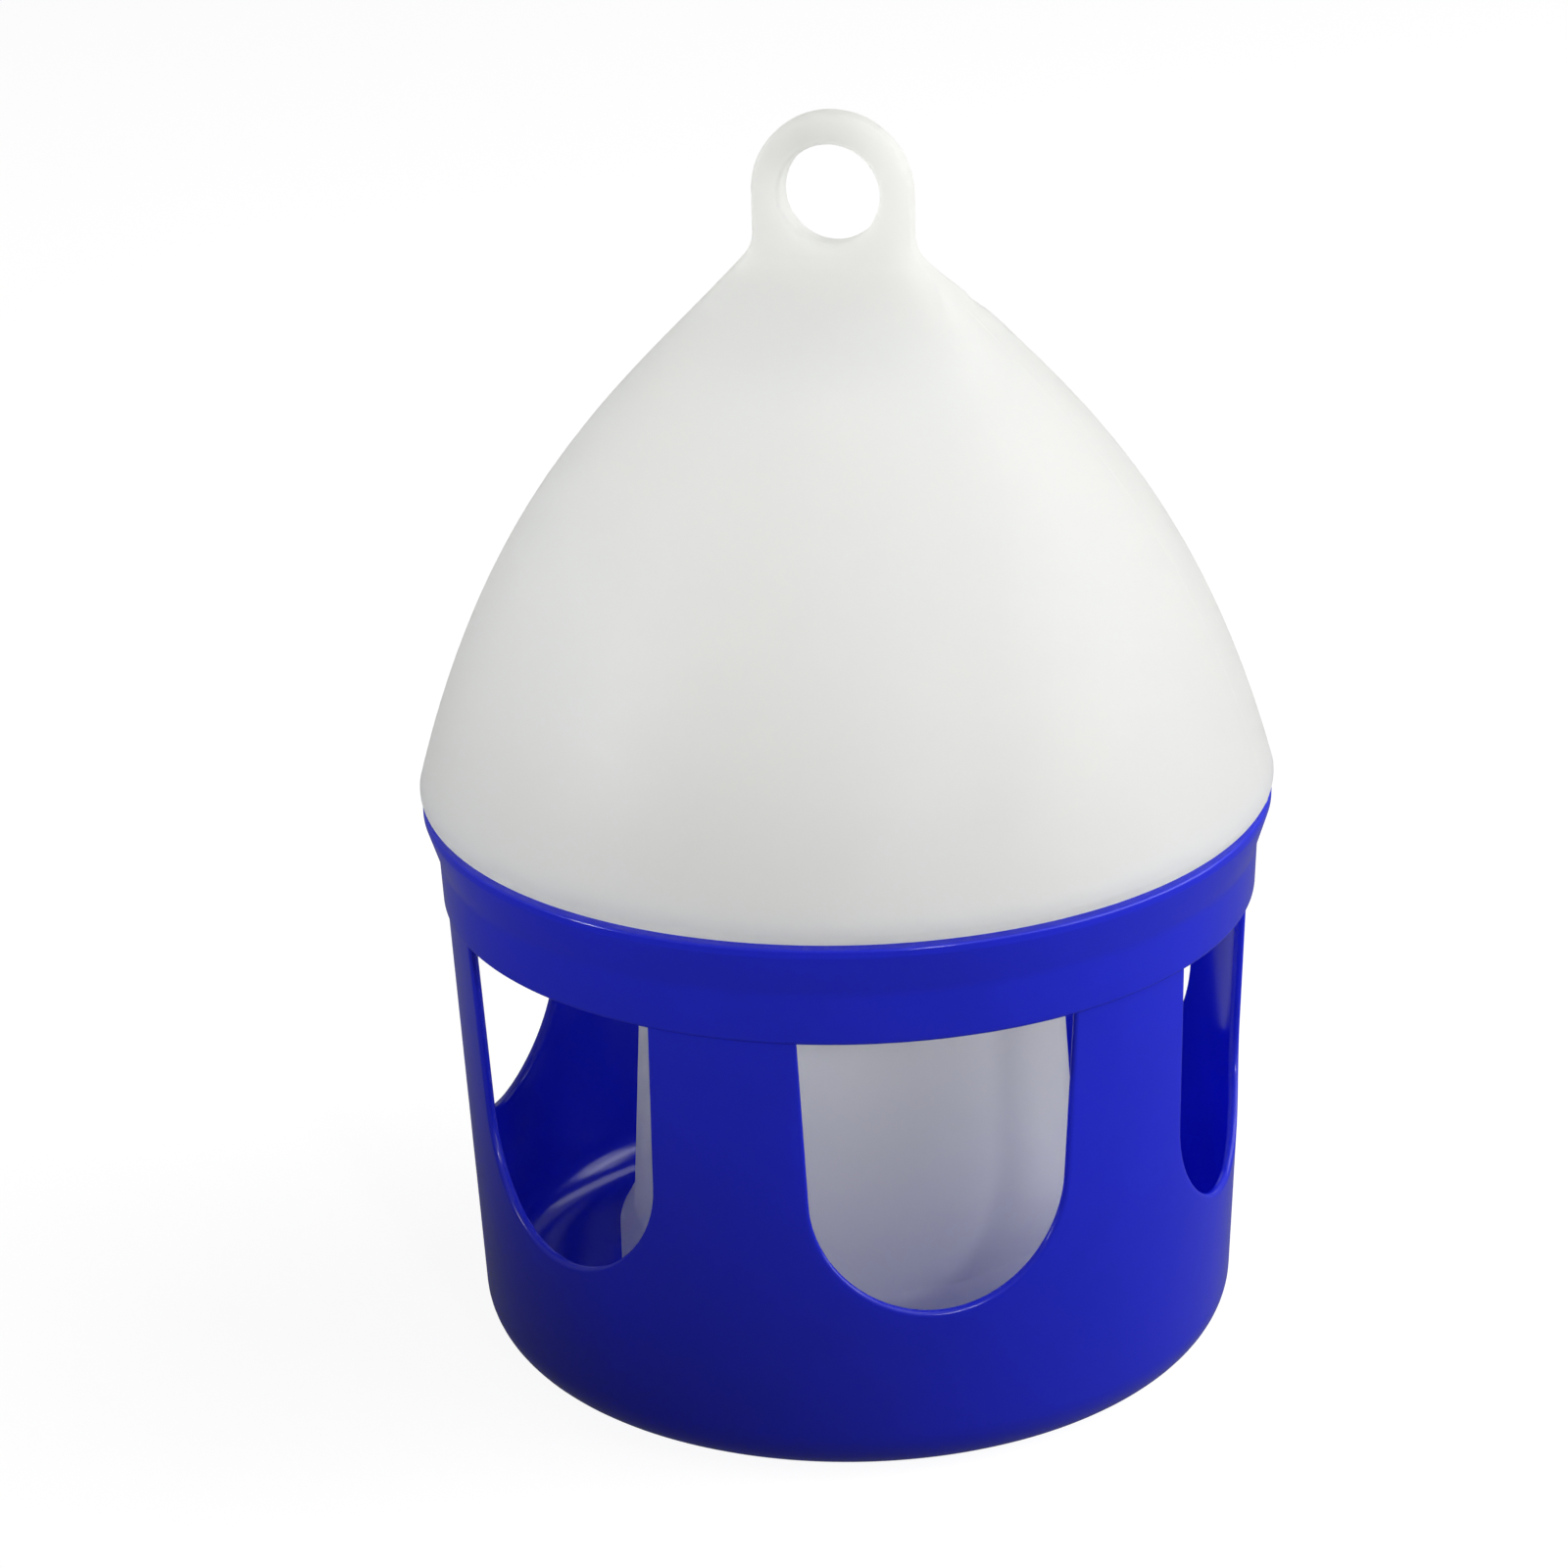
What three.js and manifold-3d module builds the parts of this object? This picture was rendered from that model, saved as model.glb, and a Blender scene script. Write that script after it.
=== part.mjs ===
// Pigeon waterer: a blow-moulded reservoir bottle with a carrying ring stands upside down in an
// injection-moulded drinking base, whose wall has windows for the birds' heads.
// Millimetres, +Z up. The origin is the middle of the underside, and one window faces -Y.

import * as THREE from 'three';
import { LoftGeometry } from 'three/addons/geometries/LoftGeometry.js';
import { mergeVertices } from 'three/addons/utils/BufferGeometryUtils.js';
import Module from 'manifold-3d';

const wasm = await Module();
wasm.setup();

const degrees = THREE.MathUtils.degToRad;

// Drinking base: floor, tapered wall, collar and flared lip
const baseWall = 2.2;
const floorThickness = 2.5;
const footRise = 1.5; // the underside is hollow inside the ring that it stands on
const footRingWidth = 10;
const bottomRadius = 83.2; // outer wall, carried down to the table
const bottomFillet = 12;
const trayFillet = 10;
const wallTopRadius = 87.8; // outer wall, at the collar's lower edge
const collarBottom = 103.5;
const collarStep = 0.7; // the collar stands proud of the wall
const collarHeight = 11.5; // up to where the lip begins to flare
const collarDraft = 0.5;
const lipHeight = 11;
const lipReach = 3;
const lipEdge = 1.8; // upright rim of the lip
const lipWall = 3;
const lipSweep = 9; // radius of the bend from collar to lip
const gateRadius = 4; // moulding gate, a shallow dimple under the floor
const gateDepth = 0.5;

// Windows: upright cut-outs with a round sill
const windowCount = 6;
const windowTopWidth = 58;
const windowSillRadius = 27.2;
const windowSill = 39.7;

// Twist lock: lugs on the bottle pass between tabs in the collar, and turn under them
const lockCount = 3;
const lockReach = 1.4;
const lockHeight = 3;
const lockWidth = 16;
const lockClearance = 0.4;
const lockPlay = 0.6; // height between a lug and the tab above it
const lockLift = 1.2; // from the lower end of the plug up to its lugs

// Reservoir bottle: neck, funnel, plug and shoulder
const bottleWall = 2;
const bottleTurn = -27; // degrees about +Z, from the window that faces -Y to the ring's face
const seatGap = 0.3; // shoulder above the lip
const shoulderOverhang = 0.5;
const shoulderCorner = 3.2;
const plugDepth = 18;
const plugFillet = 6;
const funnelDrop = 18;
const neckTopRadius = 46;
const neckLowRadius = 49.8;
const neckFillet = 8;
const footRadius = 53.2; // flared end of the neck
const footHeight = 12;
const footTaper = 5.5;
const mouthGap = 5; // mouth above the tray's floor
const notchWidth = 14; // air notches in the mouth, whose tops set the water level
const notchHeight = 13;
const notchPairs = 2;

// Dome and carrying ring
const domeHeight = 113.5;
const domeFootLean = 15.4; // degrees from upright
const domeFootPull = 67;
const domeTopLean = 42.6;
const domeTopPull = 39;
const scoopStart = 0.72; // share of the dome's outline below the scooped front and back
const scoopFootPull = 15;
const scoopTopPull = 12;
const scoopSquareness = 2.5;
const ringHoleRadius = 10.5;
const ringBand = 6.6;
const ringThickness = 6;
const ringFillet = 8;
const ringNeck = 8.6; // straight sides, from the fillet up to the ring's centre
const ringEdge = 1.2; // rounding of the ring's edges
const ringLand = 1.8; // flat face between the hole and the scoop below it
const ringRoot = 6; // the ring's foot inside the dome

// Faceting
const sides = 60;
const cavitySides = 48;
const arcStep = degrees(18);
const domeSteps = 12;
const scoopSteps = 24;
const ringSteps = 9;
const ringEdgeSteps = 2;
const windowSteps = 16;
const notchSteps = 6;
const cutMargin = 1; // a cutter reaches this far past the face that it opens
const sharedRun = 0.5;
const wholeRun = 0.95;

// Heights and radii that follow from the sizes above
const floorTop = footRise + floorThickness;
const wallLean = Math.atan2(wallTopRadius - bottomRadius, collarBottom);
const collarRadius = wallTopRadius + collarStep;
const collarInnerRadius = collarRadius - baseWall;
const lipBottom = collarBottom + collarHeight;
const lipTop = lipBottom + lipHeight;
const lipRadius = collarRadius + collarDraft + lipReach;
const seat = lipTop + seatGap;
const shoulderRadius = lipRadius + shoulderOverhang;
const plugRadius = collarInnerRadius - lockReach - lockClearance;
const plugBottom = seat - plugDepth;
const lugBottom = plugBottom + lockLift;
const tabBottom = lugBottom + lockHeight + lockPlay;
const mouth = floorTop + mouthGap;
const footTop = mouth + footHeight;
const domeFoot = seat + shoulderCorner;
const ringHalfWidth = ringHoleRadius + ringBand;
const domeTop = new THREE.Vector2(
  ringHalfWidth + ringFillet * (1 - Math.cos(degrees(domeTopLean))),
  domeFoot + domeHeight,
);
const ringFilletTop = domeTop.y + ringFillet * Math.sin(degrees(domeTopLean));
const ringCentre = ringFilletTop + ringNeck;
const scoopTop = ringCentre - ringHoleRadius - ringLand;

// A closed geometry as a solid that can be joined and cut
function solidOf(geometry) {
  geometry.deleteAttribute('normal');
  geometry.deleteAttribute('uv');
  const { attributes, index } = mergeVertices(new THREE.BufferGeometry().copy(geometry));
  const triangles = [];
  for (let i = 0; i < index.count; i += 3) {
    const [a, b, c] = [index.getX(i), index.getX(i + 1), index.getX(i + 2)];
    if (a !== b && b !== c && c !== a) triangles.push(a, b, c);
  }
  return new wasm.Manifold(new wasm.Mesh({
    numProp: 3,
    vertProperties: attributes.position.array,
    triVerts: new Uint32Array(triangles),
  }));
}

function meshOf(name, solid, material) {
  const { vertProperties, triVerts } = solid.getMesh();
  const geometry = new THREE.BufferGeometry();
  geometry.setAttribute('position', new THREE.BufferAttribute(vertProperties, 3));
  geometry.setIndex(new THREE.BufferAttribute(triVerts, 1));
  geometry.computeVertexNormals();
  const mesh = new THREE.Mesh(geometry, material);
  mesh.name = name;
  return mesh;
}

// A corner of an outline: radius from the axis, height, and the fillet that rounds it
function corner(radius, height, fillet = 0) {
  return { point: new THREE.Vector2(radius, height), fillet };
}

// Share of the straight run towards a neighbouring corner that a fillet may use up
function runShare(neighbour) {
  return neighbour.fillet > 0 ? sharedRun : wholeRun;
}

// The outline through the corners, with arcs in place of the corners that have a fillet
function outline(corners) {
  const points = [];
  corners.forEach(({ point, fillet }, i) => {
    if (fillet <= 0) {
      points.push(point.clone());
      return;
    }
    const back = corners[i - 1].point.clone().sub(point);
    const ahead = corners[i + 1].point.clone().sub(point);
    const halfAngle = Math.abs(back.angleTo(ahead)) / 2;
    const roomBack = back.length() * runShare(corners[i - 1]);
    const roomAhead = ahead.length() * runShare(corners[i + 1]);
    const reach = Math.min(fillet / Math.tan(halfAngle), roomBack, roomAhead);
    const radius = reach * Math.tan(halfAngle);
    const middle = back.clone().normalize().add(ahead.clone().normalize()).normalize();
    const centre = point.clone().addScaledVector(middle, radius / Math.sin(halfAngle));
    const start = point.clone().addScaledVector(back.normalize(), reach).sub(centre);
    const end = point.clone().addScaledVector(ahead.normalize(), reach).sub(centre);
    const turn = Math.atan2(start.cross(end), start.dot(end));
    const steps = Math.max(1, Math.round(Math.abs(turn) / arcStep));
    for (let k = 0; k <= steps; k += 1) {
      points.push(start.clone().rotateAround(new THREE.Vector2(), (turn * k) / steps).add(centre));
    }
  });
  return points;
}

// The inner side of a wall: corners moved along their mitre, with their fillets adjusted
function insetCorners(corners, wall) {
  const normals = corners.slice(1).map(({ point }, i) => {
    const along = point.clone().sub(corners[i].point).normalize();
    return new THREE.Vector2(along.y, -along.x);
  });
  return corners.map(({ point, fillet }, i) => {
    const before = normals[Math.max(i - 1, 0)];
    const after = normals[Math.min(i, normals.length - 1)];
    const mitre = before.clone().add(after).divideScalar(1 + before.dot(after));
    const bulges = before.cross(after) > 0;
    const innerFillet = bulges ? Math.max(fillet - wall, 0) : fillet + wall;
    const inner = point.clone().addScaledVector(mitre, -wall);
    return corner(inner.x, inner.y, fillet > 0 ? innerFillet : 0);
  });
}

// Points of a curve from one share of its length to another, moved inwards by a wall
function curvePoints(curve, steps, wall, from, to) {
  return Array.from({ length: steps + 1 }, (_, i) => {
    const share = from + ((to - from) * i) / steps;
    const along = curve.getTangent(share);
    const inwards = new THREE.Vector2(-along.y, along.x);
    return curve.getPoint(share).addScaledVector(inwards, wall);
  });
}

// Radius of an outline at a height
function radiusAt(points, height) {
  const above = points.findIndex((point) => point.y >= height);
  if (above <= 0) return points.at(above).x;
  const [low, high] = [points[above - 1], points[above]];
  return THREE.MathUtils.mapLinear(height, low.y, high.y, low.x, high.x);
}

function revolve(points) {
  return new THREE.LatheGeometry(points, sides).rotateX(Math.PI / 2);
}

// A ring about the axis, cut down to a few blocks that are spread evenly
function lockBlocks(innerRadius, outerRadius, bottom, firstTurn) {
  const ring = solidOf(revolve([
    new THREE.Vector2(innerRadius, bottom),
    new THREE.Vector2(outerRadius, bottom),
    new THREE.Vector2(outerRadius, bottom + lockHeight),
    new THREE.Vector2(innerRadius, bottom + lockHeight),
    new THREE.Vector2(innerRadius, bottom),
  ]));
  return Array.from({ length: lockCount }, (_, i) => {
    const block = new THREE.BoxGeometry(lockWidth, outerRadius, lockHeight + 2 * cutMargin);
    block.translate(0, -outerRadius / 2 - cutMargin, bottom + lockHeight / 2);
    block.rotateZ(degrees(firstTurn + (360 / lockCount) * i));
    return ring.intersect(solidOf(block));
  });
}

// An upright cut-out with round lower end, reaching outwards through the wall on the -Y side
function windowCutter() {
  const middle = windowSill + windowSillRadius;
  const halfTop = windowTopWidth / 2;
  const lean = Math.atan2(halfTop - windowSillRadius, collarBottom - middle);
  const shape = new THREE.Shape();
  shape.moveTo(halfTop, collarBottom);
  shape.lineTo(-halfTop, collarBottom);
  shape.absarc(0, middle, windowSillRadius, Math.PI + lean, 2 * Math.PI - lean, false);
  const depth = lipRadius;
  const options = { depth, bevelEnabled: false, curveSegments: windowSteps };
  return new THREE.ExtrudeGeometry(shape, options).rotateX(Math.PI / 2);
}

function drinkingBase() {
  const wallAcross = baseWall / Math.cos(wallLean);
  const innerRadius = (height) => bottomRadius + height * Math.tan(wallLean) - wallAcross;
  const ledge = collarBottom + baseWall / 2;
  const footInner = bottomRadius - bottomFillet - footRingWidth;
  let base = solidOf(revolve(outline([
    corner(0, footRise + gateDepth),
    corner(gateRadius - gateDepth, footRise + gateDepth),
    corner(gateRadius, footRise),
    corner(footInner - footRise, footRise),
    corner(footInner, 0),
    corner(bottomRadius, 0, bottomFillet),
    corner(wallTopRadius, collarBottom),
    corner(collarRadius, collarBottom),
    corner(collarRadius + collarDraft, lipBottom, lipSweep),
    corner(lipRadius, lipTop - lipEdge),
    corner(lipRadius, lipTop),
    corner(lipRadius - lipWall, lipTop),
    corner(collarInnerRadius, lipBottom, lipSweep + baseWall),
    corner(collarInnerRadius, ledge),
    corner(innerRadius(ledge), ledge),
    corner(innerRadius(floorTop), floorTop, trayFillet),
    corner(0, floorTop),
  ])));
  for (let i = 0; i < windowCount; i += 1) {
    const cutter = windowCutter().rotateZ(degrees((360 / windowCount) * i));
    base = base.subtract(solidOf(cutter));
  }
  const tabTurn = bottleTurn + 180 / lockCount;
  const tabInner = collarInnerRadius - lockReach;
  for (const tab of lockBlocks(tabInner, collarInnerRadius + baseWall / 2, tabBottom, tabTurn)) {
    base = base.add(tab);
  }
  const plastic = new THREE.MeshStandardMaterial({ color: 0x1d25b4, roughness: 0.28, metalness: 0 });
  return meshOf('drinking_base', base, plastic);
}

const domeCurve = new THREE.CubicBezierCurve(
  new THREE.Vector2(shoulderRadius, domeFoot),
  new THREE.Vector2(
    shoulderRadius - domeFootPull * Math.sin(degrees(domeFootLean)),
    domeFoot + domeFootPull * Math.cos(degrees(domeFootLean)),
  ),
  new THREE.Vector2(
    domeTop.x + domeTopPull * Math.sin(degrees(domeTopLean)),
    domeTop.y - domeTopPull * Math.cos(degrees(domeTopLean)),
  ),
  domeTop,
);

// Front and back of the dome leave its round outline and sweep up into the flat ring
function scoopCurve() {
  const start = domeCurve.getPoint(scoopStart);
  const along = domeCurve.getTangent(scoopStart);
  return new THREE.CubicBezierCurve(
    start,
    start.clone().addScaledVector(along, scoopFootPull),
    new THREE.Vector2(ringThickness / 2, scoopTop - scoopTopPull),
    new THREE.Vector2(ringThickness / 2, scoopTop),
  );
}

// One level of the bottle: round where width and depth are alike, squarer where it is flat
function section(width, depth, height, count) {
  const power = 2 / (2 + scoopSquareness * (1 - depth / width));
  const spread = (value) => Math.sign(value) * Math.abs(value) ** power;
  return Array.from({ length: count }, (_, i) => {
    const angle = (2 * Math.PI * i) / count;
    return new THREE.Vector3(width * spread(Math.cos(angle)), depth * spread(Math.sin(angle)), height);
  });
}

// Levels of the bottle from the mouth up into the ring's root, moved inwards by a wall
function bottleLevels(wall) {
  const lower = [
    corner(footRadius, mouth),
    corner(footRadius, footTop),
    corner(neckLowRadius, footTop + footTaper),
    corner(neckTopRadius, plugBottom - funnelDrop, neckFillet),
    corner(plugRadius, plugBottom, plugFillet),
    corner(plugRadius, seat),
    corner(shoulderRadius, seat, shoulderCorner),
    corner(shoulderRadius, domeFoot + cutMargin),
  ];
  const lowerPoints = outline(wall > 0 ? insetCorners(lower, wall) : lower).slice(0, -1);
  const domePoints = curvePoints(domeCurve, domeSteps, wall, 0, 1);
  const depthPoints = curvePoints(scoopCurve(), scoopSteps, wall, 0, 1);
  const points = [...lowerPoints, ...domePoints.slice(1)];
  return points.map(({ x, y }) => {
    const scooped = y > depthPoints[0].y;
    return { width: x, depth: scooped ? Math.min(x, radiusAt(depthPoints, y)) : x, height: y };
  });
}

function loft(levels, count) {
  const sections = levels.map(({ width, depth, height }) => section(width, depth, height, count));
  return solidOf(new LoftGeometry(sections, { capStart: true, capEnd: true }));
}

// Flat ring with rounded edges, whose sides sweep out into the dome
function carryingRing() {
  const lean = degrees(domeTopLean);
  const sweepCentre = ringHalfWidth + ringFillet;
  const shape = new THREE.Shape();
  shape.moveTo(domeTop.x, domeTop.y - ringRoot);
  shape.lineTo(domeTop.x, domeTop.y);
  shape.absarc(sweepCentre, ringFilletTop, ringFillet, Math.PI + lean, Math.PI, true);
  shape.absarc(0, ringCentre, ringHalfWidth, 0, Math.PI, false);
  shape.absarc(-sweepCentre, ringFilletTop, ringFillet, 0, -lean, true);
  shape.lineTo(-domeTop.x, domeTop.y - ringRoot);
  const hole = new THREE.Path();
  hole.absarc(0, ringCentre, ringHoleRadius, 0, 2 * Math.PI, true);
  shape.holes.push(hole);
  const ring = new THREE.ExtrudeGeometry(shape, {
    depth: ringThickness - 2 * ringEdge,
    bevelThickness: ringEdge,
    bevelSize: ringEdge,
    bevelOffset: -ringEdge,
    bevelSegments: ringEdgeSteps,
    curveSegments: ringSteps,
  });
  ring.translate(0, 0, ringEdge - ringThickness / 2);
  return ring.rotateX(Math.PI / 2);
}

// Arched slot right across the mouth, which leaves a notch on both sides
function notchCutter() {
  const shape = new THREE.Shape();
  const archHeight = mouth + notchHeight - notchWidth / 2;
  shape.moveTo(-notchWidth / 2, mouth - cutMargin);
  shape.lineTo(notchWidth / 2, mouth - cutMargin);
  shape.absarc(0, archHeight, notchWidth / 2, 0, Math.PI, false);
  const depth = 2 * (footRadius + cutMargin);
  const options = { depth, bevelEnabled: false, curveSegments: notchSteps };
  const slot = new THREE.ExtrudeGeometry(shape, options);
  return slot.translate(0, 0, -depth / 2).rotateX(Math.PI / 2);
}

function reservoirBottle() {
  const sweepReach = Math.sqrt(ringFillet ** 2 - (ringFilletTop - scoopTop) ** 2);
  const ringSide = ringHalfWidth + ringFillet - sweepReach;
  const outer = bottleLevels(0);
  outer.push({ width: ringSide, depth: ringThickness / 2, height: scoopTop });
  const inner = bottleLevels(bottleWall).filter(({ depth }) => depth > bottleWall);
  inner.unshift({ ...inner[0], height: mouth - cutMargin });
  let bottle = loft(outer, sides).add(solidOf(carryingRing())).subtract(loft(inner, cavitySides));
  for (let i = 0; i < notchPairs; i += 1) {
    const notch = notchCutter().rotateZ(degrees((180 / notchPairs) * i));
    bottle = bottle.subtract(solidOf(notch));
  }
  for (const lug of lockBlocks(plugRadius - bottleWall / 2, plugRadius + lockReach, lugBottom, 0)) {
    bottle = bottle.add(lug);
  }
  const plastic = new THREE.MeshStandardMaterial({ color: 0xe3e5e2, roughness: 0.55, metalness: 0 });
  return meshOf('reservoir_bottle', bottle, plastic);
}

const bottle = reservoirBottle();
bottle.rotation.z = degrees(bottleTurn);

const waterer = new THREE.Group();
waterer.name = 'pigeon_waterer';
waterer.add(drinkingBase(), bottle);

export default waterer;
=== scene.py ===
# Pigeon waterer: a milky bottle with a carrying ring stands upside down in a blue drinking base.
# Sizes are millimetres in the CAD frame, +Z up and one window facing -Y. Meshes are made in metres.

import math

import bmesh
import bpy
import numpy as np
from mathutils import Matrix, Vector


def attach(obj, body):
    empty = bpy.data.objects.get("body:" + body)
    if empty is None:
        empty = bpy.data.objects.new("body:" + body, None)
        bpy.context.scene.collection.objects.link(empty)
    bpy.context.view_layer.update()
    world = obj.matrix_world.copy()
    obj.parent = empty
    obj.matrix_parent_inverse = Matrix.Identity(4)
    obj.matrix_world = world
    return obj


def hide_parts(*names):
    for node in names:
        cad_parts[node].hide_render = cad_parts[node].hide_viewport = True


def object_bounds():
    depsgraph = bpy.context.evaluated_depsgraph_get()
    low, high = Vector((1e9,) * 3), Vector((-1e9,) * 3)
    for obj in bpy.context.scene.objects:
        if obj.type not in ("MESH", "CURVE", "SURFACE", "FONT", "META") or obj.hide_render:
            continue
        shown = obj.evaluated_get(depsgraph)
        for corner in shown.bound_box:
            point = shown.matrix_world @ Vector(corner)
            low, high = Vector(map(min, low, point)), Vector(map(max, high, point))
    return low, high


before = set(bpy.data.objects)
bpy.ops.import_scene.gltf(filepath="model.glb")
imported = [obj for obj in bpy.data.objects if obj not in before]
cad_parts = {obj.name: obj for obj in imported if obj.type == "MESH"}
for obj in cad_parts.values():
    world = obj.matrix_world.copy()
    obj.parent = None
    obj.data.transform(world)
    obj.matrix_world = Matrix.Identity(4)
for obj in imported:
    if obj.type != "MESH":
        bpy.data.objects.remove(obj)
cad_low, cad_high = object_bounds()

MM = 0.001

# Drinking base: floor, tapered wall, collar and flared lip
BASE_WALL = 2.2
FLOOR_THICKNESS = 2.5
FOOT_RISE = 1.5
FOOT_RING_WIDTH = 10
BOTTOM_RADIUS = 83.2  # outer wall, carried down to the table
BOTTOM_FILLET = 12
TRAY_FILLET = 10
WALL_TOP_RADIUS = 87.8
PILLAR_ENTRY = 0.6  # the pillars end this far inside the collar
COLLAR_BOTTOM = 103.5
COLLAR_STEP = 0.7
COLLAR_HEIGHT = 11.5
COLLAR_DRAFT = 0.5
COLLAR_ROUNDING = 0.9
COLLAR_INSET = 0.3  # the collar's ledge stands proud of the pillars on the inside
LIP_HEIGHT = 11
LIP_REACH = 2.9
LIP_EDGE = 1.8
LIP_WALL = 3
LIP_SWEEP = 9
GATE_RADIUS = 4  # moulding gate, a shallow dimple under the floor
GATE_DEPTH = 0.5
EDGE_ROUNDING = 0.5

# Windows
WINDOW_COUNT = 6
WINDOW_TOP_WIDTH = 58
WINDOW_SILL = 39.7
WINDOW_ROUNDING = 1.0
SILL_RADIUS = 27.2
SILL_CORNER = 1.25 * math.pi  # the mesh runs from the sill to the pillar up to here, then to the tray
SILL_LOWEST = 1.5 * math.pi
BAND_BOTTOM = 27  # the windowed band of the wall begins here

# Twist lock: lugs on the bottle pass between tabs in the collar
LOCK_COUNT = 3
LOCK_REACH = 1.4
LOCK_HEIGHT = 3
LOCK_WIDTH = 16
LOCK_CLEARANCE = 0.4
LOCK_PLAY = 0.6  # height between a lug and the tab above it
LOCK_LIFT = 1.2  # from the lower end of the plug up to its lugs

# Reservoir bottle: neck, funnel, plug and shoulder
BOTTLE_WALL = 2
BOTTLE_TURN = -27  # degrees about +Z
SEAT_GAP = 0.3
SHOULDER_INSIDE = 0.05  # the shoulder stays this far inside the CAD box
SHOULDER_CORNER = 3.2
PLUG_DEPTH = 18
PLUG_FILLET = 6
FUNNEL_DROP = 18
NECK_TOP_RADIUS = 46
NECK_LOW_RADIUS = 49.8
NECK_FILLET = 8
FOOT_RADIUS = 53.2
FOOT_HEIGHT = 12
FOOT_TAPER = 5.5
MOUTH_GAP = 5
MOUTH_ROUNDING = 0.8
NOTCH_WIDTH = 14
NOTCH_HEIGHT = 13
NOTCH_PAIRS = 2

# Dome and carrying ring
DOME_HEIGHT = 113.5
DOME_FOOT_LEAN = math.radians(15.4)
DOME_FOOT_PULL = 67
DOME_TOP_LEAN = math.radians(42.6)
DOME_TOP_PULL = 39
SCOOP_START = 0.72  # share of the dome's outline
SCOOP_FOOT_PULL = 15
SCOOP_TOP_PULL = 12
ROUND_POWER = 2  # power of a section's curve where it is a circle
SCOOP_POWER = 2.5  # added to it as the section grows flat
RING_POWER = 4  # added to it where the section is as flat as the ring
RING_FLATNESS = (0.45, 0.8)  # the section turns into the ring's between these
RING_HOLE_RADIUS = 10.5
RING_BAND = 6.6
RING_THICKNESS = 6
RING_FILLET = 8
RING_NECK = 8.55
RING_EDGE = 1.2
RING_LAND = 1.8
CAVITY_TIP = 1.5  # half the depth at which the hollow ends
SEAM_HEIGHT = 0.12  # parting line of the blow mould
SEAM_WIDTH = 0.35
SEAM_FADE = 1  # the line runs out this close to the axis

# Fineness of the meshes
ARC_STEP = math.radians(6)
FEWEST_ARC_STEPS = 2
SHARED_RUN = 0.5  # part of a straight run that a fillet may take up beside another fillet
WHOLE_RUN = 0.95  # and beside a sharp corner
BOTTLE_COLUMNS = 240
SEAM_COLUMNS = (0.12, 0.25, 0.45, 0.75)  # degrees to both sides of the parting line
COLLAR_COLUMNS = 288
HOLE_COLUMNS = 128
SIDE_STEPS = 24
CORNER_STEPS = 12
SILL_STEPS = 36
PILLAR_STEPS = 10
PILLAR_GRADING = 1.5  # the steps are finer at the window's edge
ROUNDING_STEPS = 4
DOME_STEPS = 80
SCOOP_STEPS = 200
RING_SIDE_STEPS = 10
RING_TOP_STEPS = 30
NOTCH_STEPS = 24
ANGLE_DIGITS = 12  # rounds a quarter turn's sine and cosine to a clean 0 or 1
CUT_MARGIN = 1
WELD = 0.002
CREASE_ANGLE = math.radians(35)

# Plastics. Noises are (scale, detail), and each runs its value from the first end to the second.
NOISE_ENDS = (0.3, 0.7)
BLUE_PLASTIC = {  # glossy injection-moulded polypropylene, with a faint flow mottle
    "specular": 0.5,
    "mottle_noise": (40, 4),
    "colours": ((0.016, 0.028, 0.74), (0.020, 0.033, 0.80)),
    "light_through": (0.36, 0.42),
    "gloss_noise": (90, 3),
    "roughness": (0.12, 0.17),
    "grain_noise": (700, 3),
    "grain_strength": 0.1,
    "grain_height": 0.00002,
}
MILKY_PLASTIC = {  # satin blow-moulded polyethylene, with a cloudy thickness
    "specular": 0.4,
    "mottle_noise": (22, 3),
    "colours": ((0.915, 0.915, 0.895), (0.93, 0.935, 0.92)),
    "light_through": (0.68, 0.74),
    "gloss_noise": (120, 3),
    "roughness": (0.40, 0.50),
    "grain_noise": (900, 2),
    "grain_strength": 0.25,
    "grain_height": 0.00004,
}

# Camera of the photograph, about the object's axis, in millimetres and degrees
CAMERA_AZIMUTH = -12
CAMERA_DISTANCE = 949
CAMERA_HEIGHT = 505.8
CAMERA_PITCH = 21.847
CAMERA_ROLL = 1.644
CAMERA_YAW = -0.819
CAMERA_LENS = 108.03
CAMERA_SENSOR = 36

# Studio, in metres: floor and world are white to the camera and give the object little light of their own
FLOOR_REACH = 6.0
FLOOR_COLOUR = (0.2, 0.2, 0.2, 1)
FLOOR_LIGHT = 0
FLOOR_SEEN = 0.93
FLOOR_MIRRORED = 0.12
WORLD_COLOUR = (1, 1, 1, 1)
WORLD_LIGHT = 0.03
WORLD_SEEN = 0.935
WORLD_MIRRORED = 0.5

# Lamps, in metres, degrees and watts. Bearings are taken from the camera's side, rightwards.
BOX_DISTANCE = 1.4
BOX_AIM = 0.13
SOFT_BOXES = (  # name, bearing, elevation, size, power
    ("key_box", 80, 15, (1.4, 0.8), 11.5),
    ("rim_box", 105, 45, (1.2, 1.2), 11),
    ("high_box", 55, 45, (1.2, 1.2), 5),
)
SPOT_DISTANCE = 1.2
SPOT_RADIUS = 0.09
SPOT_BLEND = 1  # the light fades all the way from the middle to the edge
SOFT_SPOTS = (  # name, bearing, elevation, aim height, cone, power
    ("front_spot", 20, 20, 0.168, 18, 28),
    ("left_spot", -71, 15, 0.188, 16.5, 53),
)

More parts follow.
